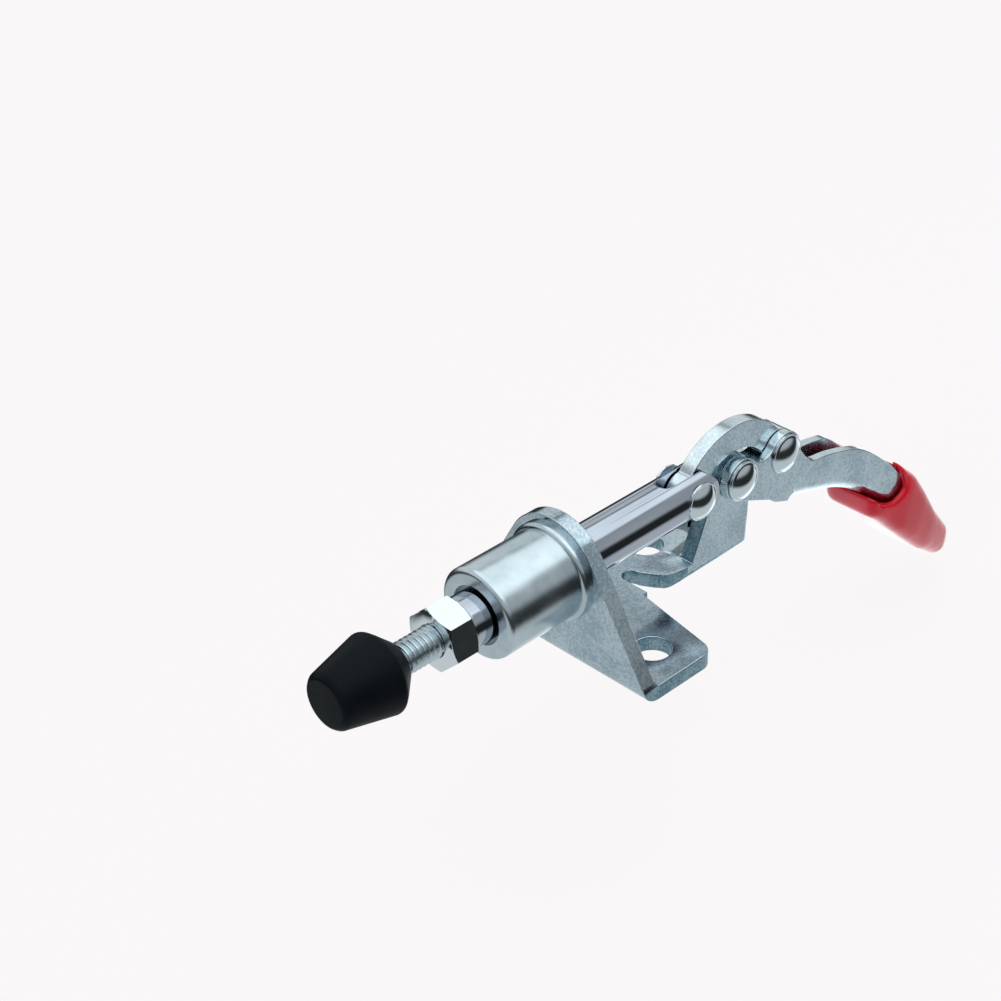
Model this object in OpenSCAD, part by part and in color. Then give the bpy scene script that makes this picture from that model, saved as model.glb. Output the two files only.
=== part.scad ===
// Push-pull toggle clamp with a flanged foot, modelled with its handle swung back.
// +X runs along the plunger towards the rubber tip, +Z is up and the foot lies on z = 0.
// The origin is halfway between the two wing holes, on the underside of the foot.

/* [Foot bracket] */
// Thickness of the stamped sheet of the foot, flange and tongue
sheet_t = 2; // [1.6:0.1:2.4]
// Width of the foot across both wings
foot_w = 28.5; // [26:0.5:34]
// Height of the plunger's axis above the mounting face
axis_h = 12.2; // [11.5:0.1:14]
// Distance from the wing holes to the flange's front face
flange_reach = 7; // [6.5:0.1:9]
// Radius of the flange's rounded top about the plunger's axis
flange_r = 7.1; // [6.8:0.1:8]
// Distance from the wing holes back to the wing's outer rear corner
wing_back = 5; // [4.5:0.1:7]
// Radius of the wing's outer rear corner
wing_corner_r = 2; // [1:0.1:3]
// Inside radius of the sheet's bends
bend_r = 0.5; // [0.3:0.1:0.8]
// Outside radius of the pressed corner under the tongue
press_r = 1; // [0.6:0.1:1.6]
// Diameter of the mounting holes
hole_d = 4.5; // [3.4:0.1:5]
// Distance between the two wing holes
hole_spacing = 18; // [17:0.5:20]
// Distance from the wing holes back to the rear hole
rear_hole_back = 15; // [14:0.1:17]
// Distance of the rear hole from the middle plane
rear_hole_side = 6.1; // [5:0.1:8]
// Width of the relief notch between the wing and the tongue
notch_w = 2.2; // [1.6:0.1:2.4]

/* [Guide collar and plunger] */
// Diameter of the plunger
plunger_d = 6.4; // [6:0.1:7]
// Length of the plunger ahead of its rivet
plunger_reach = 37.2; // [35:0.1:42]
// Outside diameter of the guide collar
collar_d = 11.3; // [11:0.1:12]
// Length of the collar ahead of the flange
collar_len = 11.9; // [10:0.1:14]
// Height of the bead round the collar's root
bead_h = 0.55; // [0.3:0.05:0.7]
// Diameter of the collar's spigot in the flange
spigot_d = 8.8; // [8:0.1:9.6]
// Radial clearance of the plunger in the collar
slide_gap = 0.05; // [0.03:0.01:0.08]
// Depth of the wide mouth at the collar's front
mouth_depth = 1.6; // [1:0.1:3]
// Radial width of that mouth round the plunger
mouth_gap = 0.5; // [0.3:0.05:0.8]
// Length of the plunger's slot ahead of its rivet
slot_reach = 4.9; // [4.8:0.1:7]
// Height of the flat seat that is milled under the plunger's rivet heads
seat_cut = 0.45; // [0.3:0.05:0.7]

/* [Spindle, nut and tip] */
// Diameter of the spindle's thread
thread_d = 4; // [3.5:0.1:4.5]
// Length of thread inside the plunger
thread_hold = 12; // [10:0.5:16]
// Length of thread between the nut and the tip
thread_show = 5.2; // [4:0.1:8]
// Radial clearance of the thread in the plunger and the nut
thread_gap = 0.05; // [0.03:0.01:0.08]
// Width of the jam nut across its flats
nut_af = 7; // [6.5:0.1:8]
// Thickness of the jam nut
nut_t = 3.6; // [3.2:0.1:5]
// Length of the rubber tip
tip_len = 10; // [9:0.1:14]
// Largest diameter of the rubber tip, near its rear
tip_d = 10; // [9:0.1:12]
// Diameter of the rubber tip at its front
tip_front_d = 7; // [6.4:0.1:8.4]
// Diameter of the spindle's head inside the tip
head_d = 5.6; // [5:0.1:6]
// Thickness of the spindle's head inside the tip
head_t = 2.4; // [1.5:0.1:3]
// Thickness of the rubber ahead of that head
head_cover = 2.2; // [1.5:0.1:3]

/* [Toggle linkage] */
// Distance from the wing holes back to the fixed pivot
pivot_back = 23.2; // [22.5:0.1:25]
// Depth of the fixed pivot below the plunger's axis
pivot_drop = 1; // [0.5:0.1:1.2]
// Distance between the fixed pivot and the crank pin
crank_r = 8; // [7.8:0.1:8.4]
// Distance between the link's two pivots
link_len = 15.9; // [15.5:0.1:17]
// Thickness of the link
link_t = 2; // [1.6:0.1:2]
// Clearance on each side of the link in the plunger's slot
link_gap = 0.15; // [0.1:0.05:0.3]
// Height of the link's arch above the line through its pivots
link_rise = 6.6; // [6:0.1:6.7]
// Width of the arch's band at its top
link_band = 3.6; // [3:0.1:3.8]
// Radius of the link's end at the plunger
link_end_r = 2.6; // [2.3:0.1:2.7]
// Angle of the crank from +X with the handle swung back
crank_back_a = 178.5; // [175:0.5:182]

/* [Handle] */
// Thickness of the handle's sheet
lever_t = 1.2; // [1:0.05:1.3]
// Radius of the handle's and the tongue's ears round the pivots
ear_r = 2.85; // [2.6:0.05:3]
// Clearance between the tongue and each handle plate
plate_gap = 0.06; // [0.04:0.01:0.12]
// Outside width of the handle where it enters the grip
lever_w = 6.9; // [6.5:0.1:7.4]
// Radius of the grip's rounded edges
grip_round = 1.5; // [1.2:0.05:1.6]

/* [Rivets] */
// Diameter of the rivets' shanks
rivet_d = 3.2; // [2.8:0.1:3.4]
// Radial clearance of a rivet in the piece that turns on it
pivot_gap = 0.05; // [0.03:0.01:0.08]
// Diameter of the two link rivets' heads
rivet_head_d = 5.2; // [4.8:0.1:5.6]
// Diameter of the plunger rivet's heads
plunger_head_d = 4.9; // [4.6:0.1:5.8]
// Height of a rivet's domed head
rivet_head_h = 1.15; // [0.9:0.05:1.4]
// Height of the rim below the dome
rivet_rim_h = 0.3; // [0.1:0.05:0.4]
// Clearance between a rivet's head and the plate that turns under it
head_gap = 0.05; // [0.03:0.01:0.1]

/* [Hidden] */
eps = 0.01;
far = 60;

// Places that follow from the sizes above
plunger_r = plunger_d / 2;
flange_x = flange_reach;
pivot_x = -pivot_back;
pivot_z = axis_h - pivot_drop;
crank_x = pivot_x + crank_r * cos(crank_back_a);
crank_z = pivot_z + crank_r * sin(crank_back_a);
link_dz = axis_h - crank_z;
link_a = asin(link_dz / link_len);
pin_x = crank_x + link_len * cos(link_a);
plunger_end_x = pin_x + plunger_reach;
nut_end_x = plunger_end_x + nut_t;
tip_x = nut_end_x + thread_show;
plate_in = sheet_t / 2 + plate_gap;
plate_out = plate_in + lever_t;
slot_w = link_t + 2 * link_gap;
seat_y = plunger_r - seat_cut;

// Points of the notch's far edge and the tongue's front edge
bend_out = bend_r + sheet_t;
bend_y = -sheet_t / 2 - bend_r;
notch_x = -8.9;
notch_end_y = bend_y - 2.4;
tongue_front_x = pivot_x + 7.3;
tongue_lean = 2.6;
strip_end_x = pivot_x - ear_r;

// Side view of the handle: u runs from the fixed pivot to the crank pin, v towards the web
web_start_u = crank_r - 1.7;
web_points = [[5.1, 5.5], [6.5, 6.55], [9.4, 7.7], [12.8, 8.8], [17, 10.2], [20.5, 11.8],
    [24.3, 14.5], [28, 18], [31.5, 22], [35.6, 26.8], [38.8, 29.8], [40.4, 31]];
edge_points = [[10.75, 0.6], [12.2, 2.7], [13.7, 3.75], [16.5, 4.2], [20.2, 5.2], [22.3, 6.1],
    [24.4, 7.6], [27, 10], [29, 12.1], [31.2, 14.9], [33.4, 18.5], [36, 22.9], [38.2, 26.3],
    [40, 28.6]];
// The plate on the -Y side is cut lower than edge_points where it enters the grip
low_edge_points = [[19, 4.85], [20.5, 5.4], [22.3, 6.7], [24.4, 8.75], [27, 11.2], [29, 13],
    [31.2, 15.3], [33.4, 18.5]];
// The channel's end inside the grip
channel_end_u = 33;
// Plan view of the handle: distance along u and share of the flare towards the grip
flare_points = [[12.5, 0], [18, 0.2], [21.5, 0.45], [25, 0.72], [29, 1], [34, 1], [40.5, 0.3]];

// A smooth curve through points, with count steps for each stretch
function spline_at(a, b, c, d, t) = 0.5 * ((2 * b) + (c - a) * t + (2 * a - 5 * b + 4 * c - d) * t * t
    + (3 * b - a - 3 * c + d) * t * t * t);
function point_at(pts, i) = pts[max(0, min(len(pts) - 1, i))];
function spline(pts, count) = concat(
    [for (i = [0 : len(pts) - 2], k = [0 : count - 1])
        spline_at(point_at(pts, i - 1), point_at(pts, i), point_at(pts, i + 1), point_at(pts, i + 2),
            k / count)],
    [point_at(pts, len(pts) - 1)]);
function unit(p) = p / norm(p);
function left_of(p) = [-p[1], p[0]];
// A line moved sideways by d, to the right of its own direction
function beside(pts, d) = [for (i = [0 : len(pts) - 1])
    pts[i] - d * left_of(unit(point_at(pts, i + 1) - point_at(pts, i - 1)))];
function reversed(pts) = [for (i = [len(pts) - 1 : -1 : 0]) pts[i]];

web_line = spline(web_points, 4);
edge_line = spline(edge_points, 4);
low_edge_line = spline(low_edge_points, 4);

// Stations along the grip: web side, open side and half width
grip_stations = [
    [[25.3, 18], [24.6, 8], 4.4],
    [[27.2, 20.1], [29.4, 11.5], 4.5],
    [[29.4, 22.5], [32.4, 14.4], 4.8],
    [[31.9, 25.1], [34.7, 17.9], 4.8],
    [[35.3, 28.4], [37.3, 22.3], 4.6],
    [[39.8, 31.9], [41.1, 27.1], 3.9],
    [[42.1, 33.5], [43.4, 30.6], 2.4],
    [[43, 34.4], [44.5, 31.8], 1.6]];
// Edge of the grip's mouth on the +Y side and on the -Y side, from the open side to the web
near_mouth_points = [[29.3, 11.8], [29.8, 12.9], [30.3, 14.1], [30.4, 15.1], [29.7, 15.9],
    [28.6, 16.35], [27.2, 16.4], [25.7, 15.8]];
far_mouth_points = [[23.4, 7.6], [23.8, 9.5], [24.2, 12], [24.2, 14.2]];
far_lobe_points = [[23.2, 7.4], [24.8, 8.8], [26.3, 10.2], [29, 12.8], [31.2, 14.9]];

// Turns a profile drawn in X and Z into a plate of the given thickness, centred on y = 0
module plate(t) {
    rotate([90, 0, 0])
        linear_extrude(height = t, center = true)
            children();
}

// A cylinder along Y
module cross_pin(r, length, fn = 48) {
    rotate([90, 0, 0])
        cylinder(r = r, h = length, center = true, $fn = fn);
}

// A cylinder along +X from the origin
module rod(r, length, fn = 72) {
    rotate([0, 90, 0])
        cylinder(r = r, h = length, $fn = fn);
}

// Puts a piece drawn in the handle's own side view into its rest position
module on_handle() {
    translate([pivot_x, 0, pivot_z])
        rotate([0, -crank_back_a, 0])
            children();
}

// Domed rivet head that rises along +Z from z = 0
module rivet_head(d) {
    cylinder(d = d, h = rivet_rim_h, $fn = 64);
    dome_h = rivet_head_h - rivet_rim_h;
    dome_r = (d * d / 4 + dome_h * dome_h) / (2 * dome_h);
    intersection() {
        translate([0, 0, rivet_head_h - dome_r])
            sphere(r = dome_r, $fn = 96);
        cylinder(d = d, h = rivet_head_h + eps, $fn = 64);
    }
}

// Shank along Y from y0 to y1, with a head on the outer end
module half_rivet(y0, y1, head_d) {
    rotate([-90, 0, 0]) {
        translate([0, 0, y0])
            cylinder(d = rivet_d, h = y1 - y0, $fn = 48);
        translate([0, 0, y1])
            rivet_head(head_d);
    }
}

// Outline of the flange's face, with Y across and Z up
module flange_outline() {
    hull() {
        translate([0, axis_h])
            circle(r = flange_r, $fn = 96);
        translate([-foot_w / 2, 0])
            square([foot_w, sheet_t]);
    }
}

// Outline of the foot on the mounting face
module foot_outline() {
    wing_y = foot_w / 2;
    lean = 3;
    difference() {
        union() {
            hull() {
                translate([flange_x - bend_out, -wing_y])
                    square([eps, foot_w]);
                for (side = [-1, 1])
                    translate([-wing_back + wing_corner_r, side * (wing_y - wing_corner_r)])
                        circle(r = wing_corner_r, $fn = 48);
                translate([-wing_back - lean, notch_end_y])
                    square([eps, eps]);
            }
            hull() {
                translate([-wing_back, -wing_y])
                    square([eps, wing_y + sheet_t / 2]);
                translate([strip_end_x + wing_corner_r, wing_corner_r - wing_y])
                    circle(r = wing_corner_r, $fn = 48);
                translate([strip_end_x, sheet_t / 2 - eps])
                    square([eps, eps]);
            }
        }
        notch_outline();
    }
}

// The notch that frees the tongue from the near wing
module notch_outline() {
    far_edge = spline([[notch_x - notch_w / 2, notch_end_y + notch_w / 2], [notch_x - 1.5, bend_y - 0.4],
        [notch_x - 2.3, -0.6], [notch_x - 3.1, 0.3], [notch_x - 4.3, 0.7],
        [tongue_front_x + 0.9, sheet_t / 2 + eps]], 5);
    translate([notch_x, notch_end_y + notch_w / 2])
        circle(d = notch_w, $fn = 40);
    polygon(concat(far_edge,
        [[tongue_front_x + 0.9, foot_w], [notch_x + notch_w / 2, foot_w],
            [notch_x + notch_w / 2, notch_end_y + notch_w / 2]]));
}

// The tongue, seen from the side, from the bend up to its ear
module tongue_outline() {
    hull() {
        translate([pivot_x, pivot_z])
            circle(r = ear_r, $fn = 72);
        translate([strip_end_x, sheet_t])
            square([eps, eps]);
        translate([strip_end_x + press_r + 0.5, press_r + 0.5])
            circle(r = press_r + 0.5, $fn = 48);
        translate([tongue_front_x - eps, 0])
            square([eps, bend_out]);
        translate([tongue_front_x - tongue_lean, axis_h - plunger_r - 0.6])
            square([eps, eps]);
    }
}

// Cross section of the flange's bend, with its centre at the origin
module bend_section() {
    intersection() {
        difference() {
            circle(r = bend_out, $fn = 64);
            circle(r = bend_r, $fn = 48);
        }
        translate([0, -bend_out])
            square(bend_out);
    }
}

// What is taken off the pressed corner under the tongue
module corner_relief() {
    translate([strip_end_x - 1, sheet_t / 2 - press_r, 0])
        rotate([90, 0, 90])
            linear_extrude(height = far)
                difference() {
                    translate([0, -1])
                        square([press_r + 1, press_r + 1]);
                    translate([0, press_r])
                        circle(r = press_r, $fn = 48);
                }
}

// Fillet in the corner between the strip and the tongue
module inner_fillet() {
    translate([strip_end_x + 0.5, bend_y, sheet_t])
        rotate([90, 0, 90])
            linear_extrude(height = tongue_front_x - strip_end_x - 0.7)
                difference() {
                    square(bend_r);
                    translate([0, bend_r])
                        circle(r = bend_r, $fn = 48);
                }
}

module base_bracket() {
    color("lightsteelblue")
        difference() {
            union() {
                difference() {
                    linear_extrude(height = sheet_t)
                        foot_outline();
                    difference() {
                        corner_relief();
                        translate([notch_x, -far / 2, -far / 2])
                            cube(far);
                    }
                }
                difference() {
                    plate(sheet_t)
                        tongue_outline();
                    corner_relief();
                }
                inner_fillet();
                // flange and the bend at its foot
                translate([flange_x - sheet_t, 0, 0])
                    rotate([90, 0, 90])
                        linear_extrude(height = sheet_t)
                            difference() {
                                flange_outline();
                                translate([-foot_w, -eps])
                                    square([2 * foot_w, bend_out + eps]);
                            }
                intersection() {
                    translate([flange_x - bend_out, foot_w / 2, bend_out])
                        rotate([90, 0, 0])
                            linear_extrude(height = foot_w)
                                bend_section();
                    translate([flange_x - bend_out, 0, 0])
                        rotate([90, 0, 90])
                            linear_extrude(height = bend_out)
                                flange_outline();
                }
            }
            for (side = [-1, 1])
                translate([0, side * hole_spacing / 2, -eps])
                    cylinder(d = hole_d, h = sheet_t + 2 * eps, $fn = 64);
            translate([-rear_hole_back, -rear_hole_side, -eps])
                cylinder(d = hole_d, h = sheet_t + 2 * eps, $fn = 64);
            translate([flange_x - sheet_t - eps, 0, axis_h])
                rod(spigot_d / 2, sheet_t + 2 * eps, 96);
            translate([pivot_x, 0, pivot_z])
                cross_pin(rivet_d / 2, 2 * sheet_t);
        }
}

module guide_collar() {
    collar_r = collar_d / 2;
    lip = 0.7;
    bore_r = plunger_r + slide_gap;
    mouth_r = plunger_r + mouth_gap;
    bead_len = 1;
    color("silver")
        translate([flange_x, 0, axis_h])
            rotate([0, 90, 0])
                rotate_extrude($fn = 120)
                    difference() {
                        union() {
                            translate([0, -sheet_t])
                                square([spigot_d / 2, sheet_t]);
                            square([collar_r, collar_len - lip]);
                            square([collar_r - lip, collar_len]);
                            translate([collar_r - lip, collar_len - lip])
                                circle(r = lip, $fn = 32);
                            square([collar_r + bead_h, bead_len - bead_h]);
                            translate([collar_r, bead_len - bead_h])
                                circle(r = bead_h, $fn = 32);
                        }
                        translate([-far, -far])
                            square([far + bore_r, 2 * far]);
                        translate([0, collar_len - mouth_depth])
                            square([mouth_r, far]);
                    }
}

module pivot_rivet() {
    color("gainsboro")
        translate([pivot_x, 0, pivot_z])
            for (side = [0, 1])
                mirror([0, side, 0])
                    half_rivet(-eps, plate_out + head_gap, rivet_head_d);
}

module crank_rivet() {
    color("gainsboro")
        translate([crank_x, 0, crank_z])
            for (side = [0, 1])
                mirror([0, side, 0])
                    half_rivet(-eps, plate_out, rivet_head_d);
}

// Two heads and shanks, one in each cheek, which leave the slot free for the link
module plunger_rivet() {
    color("gainsboro")
        translate([pin_x, 0, axis_h])
            for (side = [0, 1])
                mirror([0, side, 0])
                    half_rivet(slot_w / 2, seat_y, plunger_head_d);
}

module plunger() {
    edge = 0.4;
    color("lightgray")
        difference() {
            intersection() {
                translate([pin_x - plunger_r, 0, axis_h]) {
                    rod(plunger_r, plunger_reach + plunger_r - edge, 96);
                    translate([plunger_reach + plunger_r - edge, 0, 0])
                        rotate([0, 90, 0])
                            cylinder(r1 = plunger_r, r2 = plunger_r - edge, h = edge, $fn = 96);
                }
                union() {
                    translate([pin_x, 0, axis_h])
                        cross_pin(plunger_r, far, 96);
                    translate([pin_x, -far / 2, 0])
                        cube([far, far, far]);
                }
            }
            // slot for the link, with a round end
            translate([pin_x - far, -slot_w / 2, 0])
                cube([far + slot_reach - slot_w / 2, slot_w, far]);
            translate([pin_x + slot_reach - slot_w / 2, 0, 0])
                cylinder(d = slot_w, h = far, $fn = 32);
            // flat seats under the rivet's heads
            for (side = [-1, 1])
                translate([pin_x - far, side * (seat_y + far / 2) - far / 2, 0])
                    cube([far + plunger_head_d / 2 + 0.2, far, far]);
            translate([pin_x, 0, axis_h])
                cross_pin(rivet_d / 2, far);
            translate([plunger_end_x - thread_hold - 1, 0, axis_h])
                rod(thread_d / 2 + thread_gap, far, 64);
        }
}

module spindle() {
    head_x = tip_x + tip_len - head_t - head_cover;
    color("silver")
        translate([plunger_end_x - thread_hold, 0, axis_h]) {
            rod(thread_d / 2, head_x - plunger_end_x + thread_hold + eps, 64);
            translate([head_x - plunger_end_x + thread_hold, 0, 0])
                rod(head_d / 2, head_t, 64);
        }
}

module jam_nut() {
    corner_d = nut_af / cos(30);
    nut_turn = 13;
    chamfer = 0.5;
    color("gainsboro")
        translate([plunger_end_x, 0, axis_h])
            rotate([0, 90, 0])
                difference() {
                    intersection() {
                        rotate([0, 0, nut_turn])
                            cylinder(d = corner_d, h = nut_t, $fn = 6);
                        rotate_extrude($fn = 72)
                            polygon([[0, 0], [corner_d / 2 - chamfer, 0], [corner_d / 2 + eps, chamfer * 0.6],
                                [corner_d / 2 + eps, nut_t - chamfer * 0.6], [corner_d / 2 - chamfer, nut_t],
                                [0, nut_t]]);
                    }
                    translate([0, 0, -eps])
                        cylinder(r = thread_d / 2 + thread_gap, h = nut_t + 2 * eps, $fn = 64);
                }
}

module rubber_tip() {
    shoulder = 2.7;
    front_r = tip_front_d / 2;
    edge_round = 0.6;
    head_from = tip_len - head_t - head_cover;
    color([0.07, 0.07, 0.08])
        translate([tip_x, 0, axis_h])
            rotate([0, 90, 0])
                difference() {
                    rotate_extrude($fn = 96)
                        difference() {
                            offset(r = edge_round, $fn = 40)
                                offset(delta = -edge_round)
                                    polygon([[-tip_d, 0], [thread_d / 2 + 0.5, 0],
                                        [tip_d / 2 - 0.6, shoulder - 0.7],
                                        [tip_d / 2, shoulder], [front_r, tip_len - 0.6],
                                        [front_r - 0.5, tip_len], [-tip_d, tip_len]]);
                            translate([-far, -far])
                                square([far, 2 * far]);
                        }
                    translate([0, 0, -eps])
                        cylinder(r = thread_d / 2, h = head_from + 2 * eps, $fn = 64);
                    translate([0, 0, head_from])
                        cylinder(r = head_d / 2, h = head_t, $fn = 64);
                }
}

// Arched link, drawn from the crank pin at the origin to the plunger's rivet on +X
module link_outline() {
    arch_r = 10.3;
    difference() {
        union() {
            intersection() {
                translate([link_len / 2, link_rise - arch_r])
                    circle(r = arch_r, $fn = 180);
                translate([-far, 0])
                    square([2 * far, far]);
            }
            circle(r = ear_r, $fn = 72);
            translate([link_len, 0])
                circle(r = link_end_r, $fn = 72);
        }
        difference() {
            translate([link_len / 2, link_rise - arch_r])
                circle(r = arch_r - link_band, $fn = 180);
            circle(r = ear_r, $fn = 72);
            translate([link_len, 0])
                circle(r = link_end_r, $fn = 72);
        }
    }
}

module toggle_link() {
    color("lightsteelblue")
        translate([crank_x, 0, crank_z])
            rotate([0, -link_a, 0])
                difference() {
                    plate(link_t)
                        link_outline();
                    for (x = [0, link_len])
                        translate([x, 0, 0])
                            cross_pin(rivet_d / 2 + pivot_gap, 2 * link_t);
                }
}

// Side view of the handle's plates, with both ears and the scallop between them
module lever_outline() {
    scallop_drop = 3.2;
    scallop_r = norm([crank_r / 2, scallop_drop]) - ear_r;
    difference() {
        union() {
            circle(r = ear_r, $fn = 72);
            translate([crank_r, 0])
                circle(r = ear_r, $fn = 72);
            polygon(concat([[0, -2], [-1, 2.6]], web_line, reversed(edge_line), [[crank_r, -2]]));
        }
        translate([crank_r / 2, -scallop_drop])
            circle(r = scallop_r, $fn = 60);
    }
}

// Side view of the web, from its front edge to the handle's end
module web_outline() {
    under_web = beside(web_line, lever_t);
    polygon(concat([for (p = web_line) if (p[0] > web_start_u) p],
        reversed([for (p = under_web) if (p[0] > web_start_u) p])));
}

// Side view of the open channel under the web, inside the grip
module channel_outline() {
    under_web = beside(web_line, lever_t);
    inner = [for (p = under_web) if (p[0] < channel_end_u) p];
    polygon(concat(inner, [[channel_end_u, -far], [inner[0][0], -far]]));
}

// Plan view of the handle, made narrower by inset on each side
module lever_plan(inset) {
    flare = lever_w / 2 - plate_out;
    side = [for (p = spline(flare_points, 4)) [p[0], plate_out + flare * p[1] - inset]];
    end_w = side[len(side) - 1][1];
    outline = concat([[-far, plate_out - inset]], side, [[far, end_w]]);
    polygon(concat(outline, [for (p = reversed(outline)) [p[0], -p[1]]]));
}

// One side of the handle, from y = 0 outwards
module side_cut(side, width) {
    translate([0, side * width / 2, 0])
        plate(width)
            children();
}

// What is cut off the plate on the -Y side
module low_edge_cut() {
    ends = [low_edge_points[0], low_edge_points[len(low_edge_points) - 1]];
    side_cut(-1, lever_w)
        polygon(concat(low_edge_line, [[ends[1][0], -lever_w], [ends[0][0], -lever_w]]));
}

// The outside of the folded handle, with no space between its plates
module lever_envelope() {
    difference() {
        intersection() {
            plate(far)
                lever_outline();
            translate([0, 0, -far])
                linear_extrude(height = 2 * far)
                    lever_plan(0);
        }
        low_edge_cut();
    }
}

module handle_lever() {
    color("lightsteelblue")
        on_handle()
            difference() {
                union() {
                    intersection() {
                        plate(far)
                            lever_outline();
                        translate([0, 0, -far])
                            linear_extrude(height = 2 * far)
                                difference() {
                                    lever_plan(0);
                                    lever_plan(lever_t);
                                }
                    }
                    intersection() {
                        plate(far)
                            web_outline();
                        translate([0, 0, -far])
                            linear_extrude(height = 2 * far)
                                lever_plan(0.1);
                    }
                }
                low_edge_cut();
                cross_pin(rivet_d / 2 + pivot_gap, far);
                translate([crank_r, 0, 0])
                    cross_pin(rivet_d / 2, far);
            }
}

// Side view of what the grip leaves bare, from its mouth's edge back along the web
module mouth_outline(points) {
    last = points[len(points) - 1];
    polygon(concat(spline(points, 4), [for (p = reversed(web_line)) if (p[0] < last[0]) p],
        [[0, -far], [points[0][0], -far]]));
}

// Side view of what the grip leaves bare below its lobe on the -Y side
module far_lobe_outline() {
    last = far_lobe_points[len(far_lobe_points) - 1];
    polygon(concat(far_lobe_points, [[last[0], -far], [far_lobe_points[0][0], -far]]));
}

// One cross section of the grip: four small spheres at its rounded corners
module grip_section(s) {
    axis = unit(s[1] - s[0]);
    for (end = [s[0] + grip_round * axis, s[1] - grip_round * axis], side = [-1, 1])
        translate([end[0], side * (s[2] - grip_round), end[1]])
            sphere(r = grip_round, $fn = 24);
}

module grip_body() {
    for (i = [0 : len(grip_stations) - 2])
        hull() {
            grip_section(grip_stations[i]);
            grip_section(grip_stations[i + 1]);
        }
}

module grip() {
    color([0.78, 0.07, 0.14])
        on_handle()
            difference() {
                grip_body();
                side_cut(1, far)
                    mouth_outline(near_mouth_points);
                side_cut(-1, far)
                    mouth_outline(far_mouth_points);
                side_cut(-1, far)
                    far_lobe_outline();
                lever_envelope();
                intersection() {
                    plate(far)
                        channel_outline();
                    translate([0, 0, -far])
                        linear_extrude(height = 2 * far)
                            lever_plan(lever_t);
                }
            }
}

base_bracket();
guide_collar();
pivot_rivet();
plunger();
plunger_rivet();
spindle();
jam_nut();
rubber_tip();
toggle_link();
crank_rivet();
handle_lever();
grip();
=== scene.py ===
import math

import bmesh
import bpy
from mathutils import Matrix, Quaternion, Vector


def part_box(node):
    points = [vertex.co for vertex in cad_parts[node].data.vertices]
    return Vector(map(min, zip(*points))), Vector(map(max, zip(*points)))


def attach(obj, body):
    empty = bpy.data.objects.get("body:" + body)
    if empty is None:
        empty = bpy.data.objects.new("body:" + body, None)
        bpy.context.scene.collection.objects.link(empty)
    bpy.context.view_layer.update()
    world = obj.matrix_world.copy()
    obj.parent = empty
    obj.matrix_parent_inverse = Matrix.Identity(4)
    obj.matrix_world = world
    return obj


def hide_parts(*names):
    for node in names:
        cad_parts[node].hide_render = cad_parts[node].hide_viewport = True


mm = 0.001
axisHeight = 12.2  # the plunger's axis above the foot

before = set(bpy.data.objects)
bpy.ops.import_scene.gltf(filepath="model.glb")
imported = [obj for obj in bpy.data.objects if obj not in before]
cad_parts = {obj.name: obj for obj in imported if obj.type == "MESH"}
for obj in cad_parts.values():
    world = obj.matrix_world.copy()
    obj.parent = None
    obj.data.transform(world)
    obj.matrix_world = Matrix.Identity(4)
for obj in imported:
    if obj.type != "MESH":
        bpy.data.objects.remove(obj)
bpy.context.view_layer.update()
print("frame loaded")

# camera and studio: places and sizes in millimetres, angles in degrees

cameraValues = {
    "place": (149.25, 147.26, 155.32),
    "azimuth": 137.54,
    "elevation": 33.09,
    "roll": -2.39,
    "lens": 79.12,
    "sensorWidth": 36.0,
    "clip": (10, 12000),
}

studioValues = {
    "floorHeight": -24.6,
    "floorRadius": 2600,
    "floorSegments": 96,
    "floorColor": (0.80, 0.80, 0.81),
    "floorRoughness": 0.9,
    "backgroundColor": (0.970, 0.944, 0.952),
    "cameraShare": 0.93,
    "glossyShare": 0.8,
    "ambient": 0.46,
    "lampTarget": (-10, 0, 8),
    "lamps": {
        "overheadBox": {"place": (-60, 40, 460), "size": (420, 320), "power": 1.0},
        "farBox": {"place": (-330, -300, 300), "size": (300, 240), "power": 0.42},
        "noseBox": {"place": (420, 120, 260), "size": (260, 220), "power": 0.5},
    },
}

# the tent is seen in reflections only: dark low down, pale overhead
tentValues = {
    # radius and height
    "profile": [(1, -24), (260, -21), (620, 20), (760, 200), (640, 520), (330, 760), (0, 840)],
    "steps": 72,
    "merge": 0.01,
    "tint": (0.91, 0.98, 1.0),
    "low": 0.03,
    "floorEdge": (42, 84),  # the floor darkens between these distances to the side
    "floorGlow": 0.66,
    "rearGlow": 0.8,  # added behind the handle
    "gripGlow": 0.55,  # added on the floor under the grip
    "gripPlace": -58,
    "gripEdge": (4, 20),
    # shares of the direction away from the object
    "horizon": (-0.12, 0.0),
    "rearward": (-0.7, 0.1),
    "nearSide": (-0.3, 0.4),
    # from height, to height as a share, brightness
    "nearWall": (0.03, 0.30, 0.50),
    "farWall": (-0.04, 0.12, 0.78),
    "farGap": (0.57, 0.62, -0.52),
    "roof": (0.63, 0.72, 1.05),
}


def linkPiece(name, mesh):
    piece = bpy.data.objects.new(name, mesh)
    bpy.context.scene.collection.objects.link(piece)
    return piece


def meshFrom(bm, name):
    mesh = bpy.data.meshes.new(name)
    bm.to_mesh(mesh)
    bm.free()
    return mesh


# spins an outline of points, in metres, fully about an axis
def spinOutline(bm, points, axis, center, steps):
    verts = [bmesh.ops.create_vert(bm, co=point)["vert"][0] for point in points]
    edges = [bm.edges.new(pair) for pair in zip(verts, verts[1:])]
    bmesh.ops.spin(bm, geom=verts + edges, axis=axis, cent=center, angle=math.tau, steps=steps, use_merge=True)


def closeRims(bm):
    rims = [edge for edge in bm.edges if edge.is_boundary]
    bmesh.ops.holes_fill(bm, edges=rims, sides=0)
    bmesh.ops.recalc_face_normals(bm, faces=bm.faces)


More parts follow.
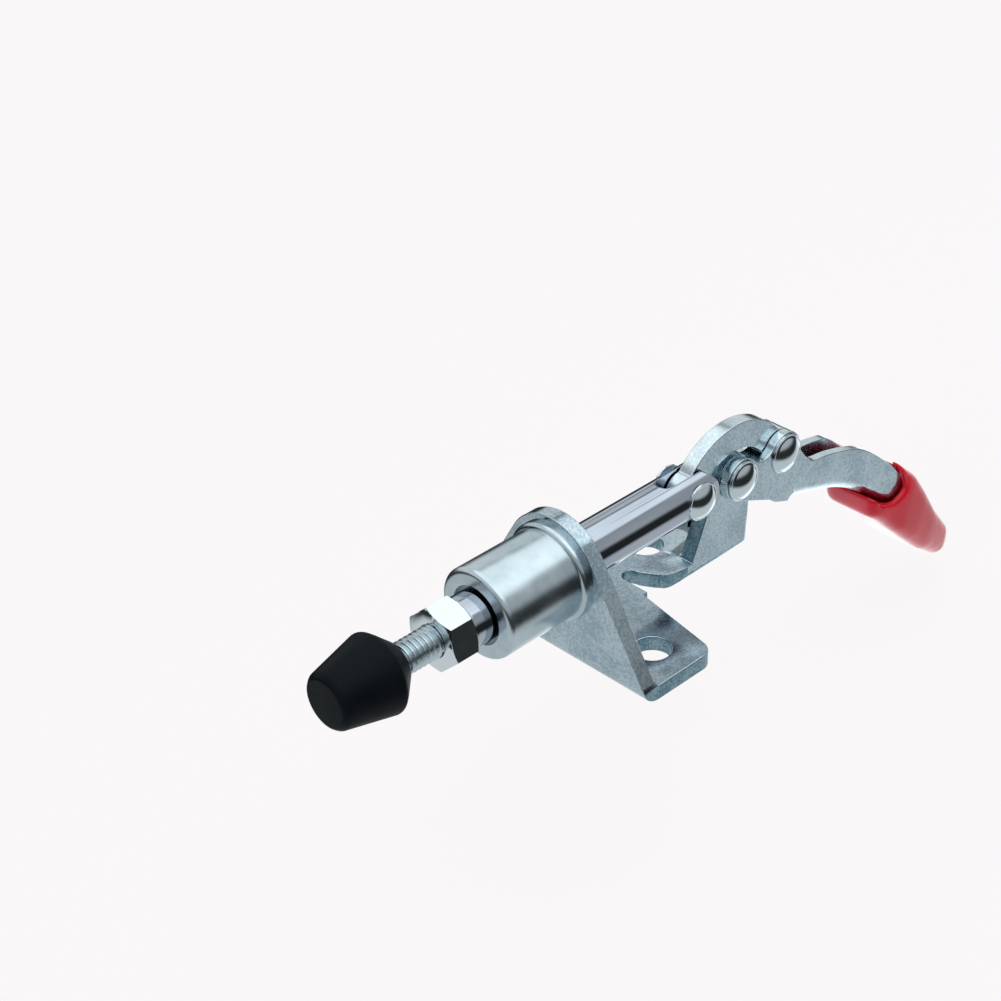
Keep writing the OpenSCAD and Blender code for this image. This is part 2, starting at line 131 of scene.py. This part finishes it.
def addCamera():
    values = cameraValues
    data = bpy.data.cameras.new("photoCamera")
    data.lens = values["lens"]
    data.sensor_width = values["sensorWidth"]
    data.clip_start, data.clip_end = (reach * mm for reach in values["clip"])
    camera = linkPiece("photoCamera", data)
    azimuth, elevation = math.radians(values["azimuth"]), math.radians(values["elevation"])
    back = Vector(
        (math.sin(azimuth) * math.cos(elevation), -math.cos(azimuth) * math.cos(elevation), math.sin(elevation))
    )
    camera.rotation_mode = "QUATERNION"
    roll = Quaternion((0, 0, 1), math.radians(values["roll"]))
    camera.rotation_quaternion = (-back).to_track_quat("-Z", "Y") @ roll
    camera.location = Vector(values["place"]) * mm
    bpy.context.scene.camera = camera


def addLamp(name, values):
    data = bpy.data.lights.new(name, "AREA")
    data.shape = "RECTANGLE"
    data.size, data.size_y = (side * mm for side in values["size"])
    data.energy = values["power"]
    lamp = linkPiece(name, data)
    lamp.location = Vector(values["place"]) * mm
    lamp.rotation_mode = "QUATERNION"
    aim = Vector(studioValues["lampTarget"]) * mm - lamp.location
    lamp.rotation_quaternion = aim.to_track_quat("-Z", "Y")
    lamp.visible_glossy = False


# a socket that can be added, multiplied and subtracted
class Signal:
    def __init__(self, finish, socket):
        self.finish = finish
        self.socket = socket

    def joined(self, operation, first, second):
        return self.finish.node("ShaderNodeMath", {"operation": operation}, [first, second])

    def __add__(self, other):
        return self.joined("ADD", self, other)

    def __radd__(self, other):
        return self.joined("ADD", other, self)

    def __mul__(self, other):
        return self.joined("MULTIPLY", self, other)

    def __rmul__(self, other):
        return self.joined("MULTIPLY", other, self)

    def __sub__(self, other):
        return self.joined("SUBTRACT", self, other)

    def __rsub__(self, other):
        return self.joined("SUBTRACT", other, self)

    def __abs__(self):
        return self.joined("ABSOLUTE", self, 0.0)

    def parts(self):
        split = self.finish.node("ShaderNodeSeparateXYZ", None, [self]).socket.node
        return [Signal(self.finish, part) for part in split.outputs]


noiseRange = (0.3, 0.7)  # most of a noise lies between these


# the nodes of one material or world
class Finish:
    def __init__(self, owner, **shaderValues):
        self.owner = owner
        owner.use_nodes = True
        self.tree = owner.node_tree
        self.shader = self.tree.nodes.get("Principled BSDF")
        for name, value in shaderValues.items():
            self.feed(self.shader.inputs[name.replace("_", " ")], value)

    def feed(self, socket, value):
        if isinstance(value, Signal):
            self.tree.links.new(value.socket, socket)
        elif isinstance(value, tuple) and len(value) == 3 and len(socket.default_value) == 4:
            socket.default_value = (*value, 1.0)
        else:
            socket.default_value = value

    # makes a node of any type, with its settings and inputs
    def node(self, kind, settings=None, inputs=(), output=0):
        made = self.tree.nodes.new(kind)
        for name, value in (settings or {}).items():
            setattr(made, name, value)
        for key, value in inputs.items() if isinstance(inputs, dict) else enumerate(inputs):
            self.feed(made.inputs[key], value)
        return Signal(self, made.outputs[output])

    def set(self, name, value):
        self.feed(self.shader.inputs[name], value)

    def surface(self, signal):
        self.feed(self.tree.nodes["Material Output"].inputs["Surface"], signal)

    # Object coordinates
    def here(self):
        return self.node("ShaderNodeTexCoord", output=3)

    def noise(self, scale, detail, stretch=(1.0, 1.0, 1.0)):
        where = self.node("ShaderNodeMapping", None, {"Vector": self.here(), "Scale": stretch})
        return self.node("ShaderNodeTexNoise", None, {"Vector": where, "Scale": scale, "Detail": detail})

    def spread(self, signal, low, high, newLow, newHigh):
        return self.node("ShaderNodeMapRange", None, [signal, low, high, newLow, newHigh])

    def ramp(self, signal, low, high, newLow, newHigh):
        smooth = {"interpolation_type": "SMOOTHSTEP"}
        return self.node("ShaderNodeMapRange", smooth, [signal, low, high, newLow, newHigh])

    def mix(self, factor, first, second):
        return self.node("ShaderNodeMix", {"data_type": "RGBA"}, {0: factor, 6: first, 7: second}, output=2)

    # a colour between two tones
    def tone(self, signal, values):
        blend = self.spread(signal, *values["toneRange"], 0.0, 1.0)
        self.set("Base Color", self.mix(blend, values["dark"], values["pale"]))

    def rough(self, signal, values):
        self.set("Roughness", self.spread(signal, *noiseRange, *values["roughness"]))

    # depth is in millimetres
    def bump(self, height, strength, depth):
        inputs = {"Strength": strength, "Distance": depth * mm, "Height": height}
        self.set("Normal", self.node("ShaderNodeBump", None, inputs))


def seenShare(finish, cameraShare, glossyShare):
    path = finish.node("ShaderNodeLightPath")
    glossy = Signal(finish, path.socket.node.outputs["Is Glossy Ray"])
    through = Signal(finish, path.socket.node.outputs["Is Transmission Ray"])
    return path * cameraShare + glossy * glossyShare + through * glossyShare


# the tent's brightness, from the place on it and the direction away from the object
def tentGlow(finish):
    values = tentValues
    where = finish.here()
    place = where.parts()
    away = finish.node("ShaderNodeVectorMath", {"operation": "NORMALIZE"}, [where]).parts()
    side = finish.ramp(away[1], *values["nearSide"], 0.0, 1.0)
    near, far, gap, roof = (
        finish.ramp(away[2], low, high, 0.0, top)
        for low, high, top in (values[part] for part in ("nearWall", "farWall", "farGap", "roof"))
    )
    floorEdge, gripEdge = ([edge * mm for edge in values[part]] for part in ("floorEdge", "gripEdge"))
    floor = finish.ramp(abs(place[1]), *floorEdge, 1.0, 0.0)
    floor = floor * finish.ramp(away[2], *values["horizon"], 1.0, 0.0)
    rear = finish.ramp(away[0], *values["rearward"], 1.0, 0.0) * (1.0 - side)
    patch = finish.ramp(abs(place[0] - values["gripPlace"] * mm), *gripEdge, values["gripGlow"], 0.0)
    patch = patch * finish.ramp(abs(place[1]), *gripEdge, 1.0, 0.0)
    glow = floor * (rear * values["rearGlow"] + patch + values["floorGlow"]) + values["low"]
    return glow + side * near + (1.0 - side) * (far + gap) + roof


def addTent():
    values = tentValues
    bm = bmesh.new()
    points = [(radius * mm, 0, height * mm) for radius, height in values["profile"]]
    spinOutline(bm, points, (0, 0, 1), (0, 0, 0), values["steps"])
    bmesh.ops.remove_doubles(bm, verts=bm.verts, dist=values["merge"] * mm)
    tent = linkPiece("reflectedTent", meshFrom(bm, "reflectedTent"))
    finish = Finish(bpy.data.materials.new("tentCloth"))
    color = finish.mix(tentGlow(finish), (0.0, 0.0, 0.0), values["tint"])
    color.socket.node.clamp_factor = False
    finish.surface(finish.node("ShaderNodeEmission", None, {"Color": color}))
    tent.data.materials.append(finish.owner)
    for kind in ("camera", "diffuse", "shadow", "transmission"):
        setattr(tent, "visible_" + kind, False)


def addStudio():
    values = studioValues
    world = bpy.data.worlds.new("studioWorld")
    bpy.context.scene.world = world
    finish = Finish(world)
    background = finish.tree.nodes["Background"]
    share = seenShare(finish, 1.0, 1.0)
    seen = finish.mix(share, (values["ambient"],) * 3, values["backgroundColor"])
    finish.feed(background.inputs["Color"], seen)

    bm = bmesh.new()
    bmesh.ops.create_circle(
        bm, cap_ends=True, segments=values["floorSegments"], radius=values["floorRadius"] * mm
    )
    bmesh.ops.translate(bm, vec=(0, 0, values["floorHeight"] * mm), verts=bm.verts)
    floor = linkPiece("studioFloor", meshFrom(bm, "studioFloor"))
    finish = Finish(
        bpy.data.materials.new("paleFloor"), Base_Color=values["floorColor"], Roughness=values["floorRoughness"]
    )
    glow = finish.node("ShaderNodeEmission", None, {"Color": values["backgroundColor"], "Strength": 1.0})
    share = seenShare(finish, values["cameraShare"], values["glossyShare"])
    shaded = Signal(finish, finish.shader.outputs["BSDF"])
    finish.surface(finish.node("ShaderNodeMixShader", None, [share, shaded, glow]))
    floor.data.materials.append(finish.owner)

    addTent()
    for name, lamp in values["lamps"].items():
        addLamp(name, lamp)
    print("studio made")


# finishes: noise as (scale, detail), roughness as (low, high), bump as (strength, depth)

zincSheetValues = {
    "dark": (0.35, 0.44, 0.50),
    "pale": (0.54, 0.62, 0.67),
    "waves": (70.0, 1.0),
    "clouds": (260.0, 5.0),
    "specks": (3200.0, 2.0),
    "shares": (0.4, 0.6),  # of clouds and specks in the colour
    "toneRange": (0.42, 0.58),
    "roughness": (0.09, 0.2),
    "heights": (8.0, 0.3),  # of waves and specks beside the clouds
    "bump": (0.12, 0.15),
}


def zincSheet():
    values = zincSheetValues
    finish = Finish(bpy.data.materials.new("zincSheet"), Metallic=1.0)
    waves, clouds, specks = (finish.noise(*values[part]) for part in ("waves", "clouds", "specks"))
    cloudShare, speckShare = values["shares"]
    waveHeight, speckHeight = values["heights"]
    finish.tone(clouds * cloudShare + specks * speckShare, values)
    finish.rough(clouds, values)
    finish.bump(waves * waveHeight + clouds + specks * speckHeight, *values["bump"])
    return finish.owner


# the cut edges of the bracket keep a dull tone; those of the link and the handle take a much paler copy of the
# same finish, a painted highlight
cutEdgeValues = {
    "cutEdge": {"dark": (0.10, 0.19, 0.24), "pale": (0.30, 0.42, 0.48), "roughness": (0.2, 0.34)},
    "paintedHighlightEdge": {"dark": (0.52, 0.60, 0.64), "pale": (0.72, 0.79, 0.82), "roughness": (0.12, 0.24)},
    "streaks": (3600.0, 2.0),
    "clouds": (420.0, 2.0),
    "toneRange": (0.4, 0.6),
    "bump": (0.15, 0.04),
}


def cutEdge(name):
    values = {**cutEdgeValues, **cutEdgeValues[name]}
    finish = Finish(bpy.data.materials.new(name), Metallic=1.0)
    streaks, clouds = finish.noise(*values["streaks"]), finish.noise(*values["clouds"])
    finish.tone(streaks * 0.5 + clouds * 0.5, values)
    finish.rough(clouds, values)
    finish.bump(streaks, *values["bump"])
    return finish.owner


turnedZincValues = {
    "dark": (0.48, 0.56, 0.60),
    "pale": (0.60, 0.67, 0.71),
    "rings": (1.0, 2.0, (9000.0, 60.0, 60.0)),  # packed tightly along X
    "clouds": (300.0, 3.0),
    "toneRange": (0.35, 0.65),
    "roughness": (0.19, 0.26),
    "bump": (0.06, 0.03),
}


def turnedZinc():
    values = turnedZincValues
    finish = Finish(bpy.data.materials.new("turnedZinc"), Metallic=1.0)
    rings, clouds = finish.noise(*values["rings"]), finish.noise(*values["clouds"])
    finish.tone(clouds, values)
    finish.rough(clouds, values)
    finish.bump(rings, *values["bump"])
    return finish.owner


polishedRodValues = {
    "dark": (0.40, 0.43, 0.49),
    "pale": (0.50, 0.53, 0.60),
    "streaks": (1.0, 3.0, (70.0, 900.0, 900.0)),  # drawn out along X
    "toneRange": (0.35, 0.68),
    "roughness": (0.04, 0.09),
    "bump": (0.04, 0.03),
}


def polishedRod():
    values = polishedRodValues
    finish = Finish(bpy.data.materials.new("polishedRod"), Metallic=1.0)
    streaks = finish.noise(*values["streaks"])
    finish.tone(streaks, values)
    finish.rough(streaks, values)
    finish.bump(streaks, *values["bump"])
    return finish.owner


brightFinishValues = {
    "rivetHead": {"color": (0.66, 0.72, 0.76), "roughness": (0.08, 0.16), "clouds": (700.0, 3.0)},
    "threadSteel": {"color": (0.58, 0.65, 0.69), "roughness": (0.22, 0.34), "clouds": (1200.0, 3.0)},
    "nutPlate": {"color": (0.76, 0.81, 0.84), "roughness": (0.07, 0.14), "clouds": (500.0, 3.0)},
    "bump": (0.05, 0.04),
}


def brightFinish(name):
    values = brightFinishValues[name]
    finish = Finish(bpy.data.materials.new(name), Metallic=1.0, Base_Color=values["color"])
    clouds = finish.noise(*values["clouds"])
    finish.rough(clouds, values)
    finish.bump(clouds, *brightFinishValues["bump"])
    return finish.owner


blackRubberValues = {
    "specular": 0.08,
    "dark": (0.0015, 0.003, 0.0045),
    "pale": (0.003, 0.005, 0.0075),
    "grain": (4200.0, 3.0),
    "clouds": (240.0, 2.0),
    "toneRange": (0.35, 0.65),
    "roughness": (0.42, 0.56),
    "bump": (0.12, 0.04),
}


def blackRubber():
    values = blackRubberValues
    finish = Finish(bpy.data.materials.new("blackRubber"), Specular_IOR_Level=values["specular"])
    grain, clouds = finish.noise(*values["grain"]), finish.noise(*values["clouds"])
    finish.tone(clouds, values)
    finish.rough(clouds, values)
    finish.bump(grain, *values["bump"])
    return finish.owner


redVinylValues = {
    "shader": {
        "Coat_Weight": 0.25,
        "Coat_Roughness": 0.05,
        "Specular_IOR_Level": 0.34,
        "Specular_Tint": (0.88, 0.80, 1.0),
    },
    "dark": (0.54, 0.002, 0.012),
    "pale": (0.62, 0.004, 0.018),
    "clouds": (150.0, 2.0),
    "toneRange": (0.35, 0.65),
    "roughness": (0.14, 0.24),
    "bump": (0.1, 0.2),
}


def redVinyl():
    values = redVinylValues
    finish = Finish(bpy.data.materials.new("redVinyl"), **values["shader"])
    clouds = finish.noise(*values["clouds"])
    finish.tone(clouds, values)
    finish.rough(clouds, values)
    finish.bump(clouds, *values["bump"])
    return finish.owner


# pieces: sizes in millimetres, angles in degrees

meshValues = {"merge": 0.004, "flatAngle": 0.6, "smoothAngle": 32, "softAngle": 35, "softSegments": 2}


# the node's CAD mesh with its triangles joined into flat faces
def copyOf(node, merge=meshValues["merge"], flatAngle=meshValues["flatAngle"]):
    bm = bmesh.new()
    bm.from_mesh(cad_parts[node].data)
    bmesh.ops.remove_doubles(bm, verts=bm.verts, dist=merge * mm)
    bmesh.ops.dissolve_degenerate(bm, dist=merge * mm, edges=bm.edges)
    bmesh.ops.dissolve_limit(bm, angle_limit=math.radians(flatAngle), verts=bm.verts, edges=bm.edges)
    bmesh.ops.recalc_face_normals(bm, faces=bm.faces)
    return bm


def finishPiece(bm, name, body, nodes, materials, smoothAngle=meshValues["smoothAngle"]):
    for face in bm.faces:
        face.smooth = True
    for edge in bm.edges:
        edge.smooth = edge.calc_face_angle(0.0) < math.radians(smoothAngle)
    piece = linkPiece(name, meshFrom(bm, name))
    for material in materials:
        piece.data.materials.append(material)
    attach(piece, body)
    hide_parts(*nodes)
    print("made", name)
    return piece


def softenEdges(piece, width, limit="ANGLE"):
    bevel = piece.modifiers.new("softEdges", "BEVEL")
    bevel.width = width * mm
    bevel.segments = meshValues["softSegments"]
    bevel.limit_method = limit
    bevel.angle_limit = math.radians(meshValues["softAngle"])
    bevel.use_clamp_overlap = False
    bevel.miter_outer = "MITER_ARC"
    bevel.harden_normals = True


rivetValues = {
    "shankRadius": 1.6,
    "headHeight": 1.2,
    "rimHeight": 0.32,
    "rimRound": 0.12,
    "domeInset": 0.26,
    "domeSteps": 9,
    "spinSteps": 64,
    "merge": 0.003,
    "smoothAngle": 40,
    # node, body, head radius, and the shank's start and the head's seat out from the middle plane
    "rivets": {
        "pivotRivet": ("pivot_rivet", "base", 2.6, 0.0, 2.31),
        "crankRivet": ("crank_rivet", "handle", 2.6, 0.0, 2.26),
        "forkRivets": ("plunger_rivet", "plunger", 2.45, 1.15, 2.75),
    },
}


# half a rivet as (radius, reach): shank, rim with a broken corner, and a dome that is part of a ball
def rivetOutline(headRadius, foot, seat):
    values = rivetValues
    shank, corner, rim = values["shankRadius"], values["rimRound"], seat + values["rimHeight"]
    dome = headRadius - values["domeInset"]
    outline = [
        (shank, foot), (shank, seat), (headRadius, seat), (headRadius, rim - corner),
        (headRadius - corner, rim), (dome, rim),
    ]
    rise = values["headHeight"] - values["rimHeight"]
    ball = (dome * dome + rise * rise) / (2 * rise)
    lean = math.asin(dome / ball)
    for step in range(1, values["domeSteps"] + 1):
        turn = lean * (1 - step / values["domeSteps"])
        outline.append((ball * math.sin(turn), seat + values["headHeight"] - ball + ball * math.cos(turn)))
    return outline


def makeRivet(name, material):
    values = rivetValues
    node, body, headRadius, foot, seat = values["rivets"][name]
    low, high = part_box(node)
    center = ((low[0] + high[0]) / 2, 0, (low[2] + high[2]) / 2)
    bm = bmesh.new()
    for side in (1, -1):
        points = [
            (center[0] + radius * mm, side * reach * mm, center[2])
            for radius, reach in rivetOutline(headRadius, foot, seat)
        ]
        spinOutline(bm, points, (0, 1, 0), center, values["spinSteps"])
    bmesh.ops.remove_doubles(bm, verts=bm.verts, dist=values["merge"] * mm)
    closeRims(bm)
    finishPiece(bm, name, body, [node], [material], values["smoothAngle"])


spindleValues = {
    "pitch": 0.7,
    "crestRadius": 1.98,
    "rootRadius": 1.56,
    # one turn of the thread as (share of the pitch, radius)
    "profile": [
        (0.0, "rootRadius"), (0.06, "rootRadius"), (0.44, "crestRadius"), (0.56, "crestRadius"),
        (0.94, "rootRadius"),
    ],
    "threadFrom": 10.2,
    "threadTo": 33.0,
    # turns that are spun too many and cut away again
    "leadTurns": 2,
    "spareTurns": 3,
    "steps": 40,
    "shankRadius": 1.9,
    "shankOverlap": 0.3,
    "shankTo": 35.9,
    "headRadius": 2.75,
    "headTo": 38.4,
    "headSteps": 48,
    "merge": 0.002,
    "cutTolerance": 0.0001,
    "smoothAngle": 40,
}


# a real thread: the profile's line is spun once while it moves on by one pitch
def addThread(bm, center):
    values = spindleValues
    pitch, steps = values["pitch"], values["steps"]
    turns = int((values["threadTo"] - values["threadFrom"]) / pitch) + values["spareTurns"]
    last = None
    for turn in range(turns):
        for share, radius in values["profile"]:
            x = values["threadFrom"] + (turn - values["leadTurns"] + share) * pitch
            point = bmesh.ops.create_vert(bm, co=(x * mm, 0, (axisHeight + values[radius]) * mm))["vert"][0]
            if last:
                bm.edges.new((last, point))
            last = point
    bmesh.ops.spin(
        bm, geom=bm.verts[:] + bm.edges[:], axis=(1, 0, 0), cent=center, dvec=(pitch / steps * mm, 0, 0),
        angle=math.tau, steps=steps
    )
    bmesh.ops.remove_doubles(bm, verts=bm.verts, dist=values["merge"] * mm)
    for place, side in ((values["threadFrom"], -1), (values["threadTo"], 1)):
        cut = bmesh.ops.bisect_plane(
            bm, geom=bm.verts[:] + bm.edges[:] + bm.faces[:], dist=values["cutTolerance"] * mm,
            plane_co=(place * mm, 0, 0), plane_no=(side, 0, 0), clear_outer=True
        )
        rim = [edge for edge in cut["geom_cut"] if isinstance(edge, bmesh.types.BMEdge)]
        bmesh.ops.contextual_create(bm, geom=rim)
    bmesh.ops.recalc_face_normals(bm, faces=bm.faces)


def makeSpindle(material):
    values = spindleValues
    center = (0, 0, axisHeight * mm)
    bm = bmesh.new()
    addThread(bm, center)
    outline = [
        (values["threadTo"] - values["shankOverlap"], "shankRadius"), (values["shankTo"], "shankRadius"),
        (values["shankTo"], "headRadius"), (values["headTo"], "headRadius"),
    ]
    points = [(x * mm, 0, (axisHeight + values[radius]) * mm) for x, radius in outline]
    spinOutline(bm, points, (1, 0, 0), center, values["headSteps"])
    closeRims(bm)
    smoothAngle = values["smoothAngle"]
    finishPiece(bm, "threadedSpindle", "spindle", ["spindle"], [material], smoothAngle)


gripValues = {"flatAngle": 0.2, "smoothAngle": 180, "voxel": 0.34, "smoothing": 0.5, "rounds": 20}


# the CAD grip is faceted, and becomes one poured skin
def makeGrip(material):
    values = gripValues
    bm = copyOf("grip", flatAngle=values["flatAngle"])
    piece = finishPiece(bm, "vinylGrip", "handle", ["grip"], [material], values["smoothAngle"])
    remesh = piece.modifiers.new("voxels", "REMESH")
    remesh.mode = "VOXEL"
    remesh.voxel_size = values["voxel"] * mm
    remesh.use_smooth_shade = True
    smooth = piece.modifiers.new("poured", "SMOOTH")
    smooth.factor = values["smoothing"]
    smooth.iterations = values["rounds"]


sheetValues = {
    "merge": 0.03,
    "edgeWidth": 0.12,
    "edgeFacing": 0.5,  # a cut face's normal has a smaller share than this across the sheet
    "roundSteps": 5,
}

bracketValues = {
    "flangeFrom": 4,
    "footTop": 2.6,
    "frontFace": 6.9,
    "frontFacing": 0.9,
    "tongueFacing": 0.4,
    "footFacing": 0.3,
    "heelRound": 0.9,
    "heelReach": 0.02,
    "heelHeight": 1.02,
    "heelAngle": 1.0,  # radians
    # the short corner inside the flange's bend
    "cornerX": (4.4, 5.2),
    "cornerY": 13.4,
    "cornerZ": (1.8, 2.7),
}

handleValues = {
    "foldRound": 1.7,
    "foldEnds": (-60, -32.5),
    "webHalf": 0.4,
    "plateFacing": 0.8,
    "plateFrom": 2,
    "channelHalf": 0.9,
}


def roundEdges(bm, edges, radius):
    bmesh.ops.bevel(
        bm, geom=edges, offset=radius * mm, offset_type="OFFSET", affect="EDGES",
        segments=sheetValues["roundSteps"], profile=0.5, material=-1, clamp_overlap=False
    )
    print("rounded", len(edges), "edges")


# rounds the lower corner at the foot's rear end
def roundHeel(bm):
    values = bracketValues
    rear = min(vert.co.x for vert in bm.verts)
    heel = [
        edge for edge in bm.edges
        if all(vert.co.x < rear + values["heelReach"] * mm for vert in edge.verts)
        and max(vert.co.z for vert in edge.verts) < values["heelHeight"] * mm
        and edge.calc_face_angle(0.0) > values["heelAngle"]
    ]
    roundEdges(bm, heel, values["heelRound"])


# rounds the outside corners where the handle's web meets its plates
def roundFold(bm):
    values = handleValues
    folds = []
    for edge in bm.edges:
        side = (edge.verts[0].co.y + edge.verts[1].co.y) / 2 / mm
        places = [vert.co.x / mm for vert in edge.verts]
        web = any(
            max(abs(face.normal.y), abs(face.calc_center_median().y) / mm) < values["webHalf"]
            for face in edge.link_faces
        )
        plate = any(face.normal.y * side > values["plateFacing"] * abs(side) for face in edge.link_faces)
        between = min(places) > values["foldEnds"][0] and max(places) < values["foldEnds"][1]
        if web and plate and between and abs(side) > values["plateFrom"]:
            folds.append(edge)
    roundEdges(bm, folds, values["foldRound"])


# softened, that corner would stand out beyond the foot
def isBendCorner(center):
    values = bracketValues
    (lowX, highX), (lowZ, highZ) = values["cornerX"], values["cornerZ"]
    return lowX < center.x < highX and lowZ < center.z < highZ and abs(center.y) > values["cornerY"]


def isBracketEdge(normal, center):
    values = bracketValues
    if center.z > values["footTop"]:
        return center.x <= values["flangeFrom"] and abs(normal.y) < values["tongueFacing"]
    front = abs(normal.x) > values["frontFacing"] and center.x > values["frontFace"]
    return abs(normal.z) < values["footFacing"] and not front


def isLinkEdge(normal, center):
    return abs(normal.y) < sheetValues["edgeFacing"]


def isHandleEdge(normal, center):
    return abs(normal.y) < sheetValues["edgeFacing"] and abs(center.y) > handleValues["channelHalf"]


# a stamped piece with flat faces in one finish, cut faces in the other, and softened edges
def makeSheetPiece(name, node, body, isEdge, reshape, flatFinish, cutFinish):
    values = sheetValues
    bm = copyOf(node, values["merge"])
    if reshape:
        reshape(bm)
    for face in bm.faces:
        face.material_index = 1 if isEdge(face.normal, face.calc_center_median() / mm) else 0
    softAngle = math.radians(meshValues["softAngle"])
    weights = bm.edges.layers.float.new("bevel_weight_edge")
    for edge in bm.edges:
        center = (edge.verts[0].co + edge.verts[1].co) / 2 / mm
        edge[weights] = float(edge.calc_face_angle(0.0) > softAngle and not isBendCorner(center))
    piece = finishPiece(bm, name, body, [node], [flatFinish, cutFinish])
    softenEdges(piece, values["edgeWidth"], "WEIGHT")


plungerValues = {"edgeWidth": 0.1}


def makePieces():
    sheet, cut, paintedHighlight = zincSheet(), cutEdge("cutEdge"), cutEdge("paintedHighlightEdge")
    turned, rod = turnedZinc(), polishedRod()
    rivet, thread, nut = (brightFinish(name) for name in ("rivetHead", "threadSteel", "nutPlate"))
    makeSheetPiece("footBracket", "base_bracket", "base", isBracketEdge, roundHeel, sheet, cut)
    # the link's and the handle's cut edges get the paler copy of the cut-edge finish: painted highlight
    makeSheetPiece("archedLink", "toggle_link", "link", isLinkEdge, None, sheet, paintedHighlight)
    makeSheetPiece("foldedHandle", "handle_lever", "handle", isHandleEdge, roundFold, sheet, paintedHighlight)
    finishPiece(copyOf("guide_collar"), "guideCollar", "base", ["guide_collar"], [turned])
    plunger = finishPiece(copyOf("plunger"), "plungerRod", "plunger", ["plunger"], [rod])
    softenEdges(plunger, plungerValues["edgeWidth"])
    for name in rivetValues["rivets"]:
        makeRivet(name, rivet)
    finishPiece(copyOf("jam_nut"), "jamNut", "jam_nut", ["jam_nut"], [nut])
    finishPiece(copyOf("rubber_tip"), "rubberTip", "spindle", ["rubber_tip"], [blackRubber()])
    makeSpindle(thread)
    makeGrip(redVinyl())


addCamera()
addStudio()
makePieces()

bpy.context.scene.view_settings.view_transform = "Standard"
bpy.context.view_layer.update()
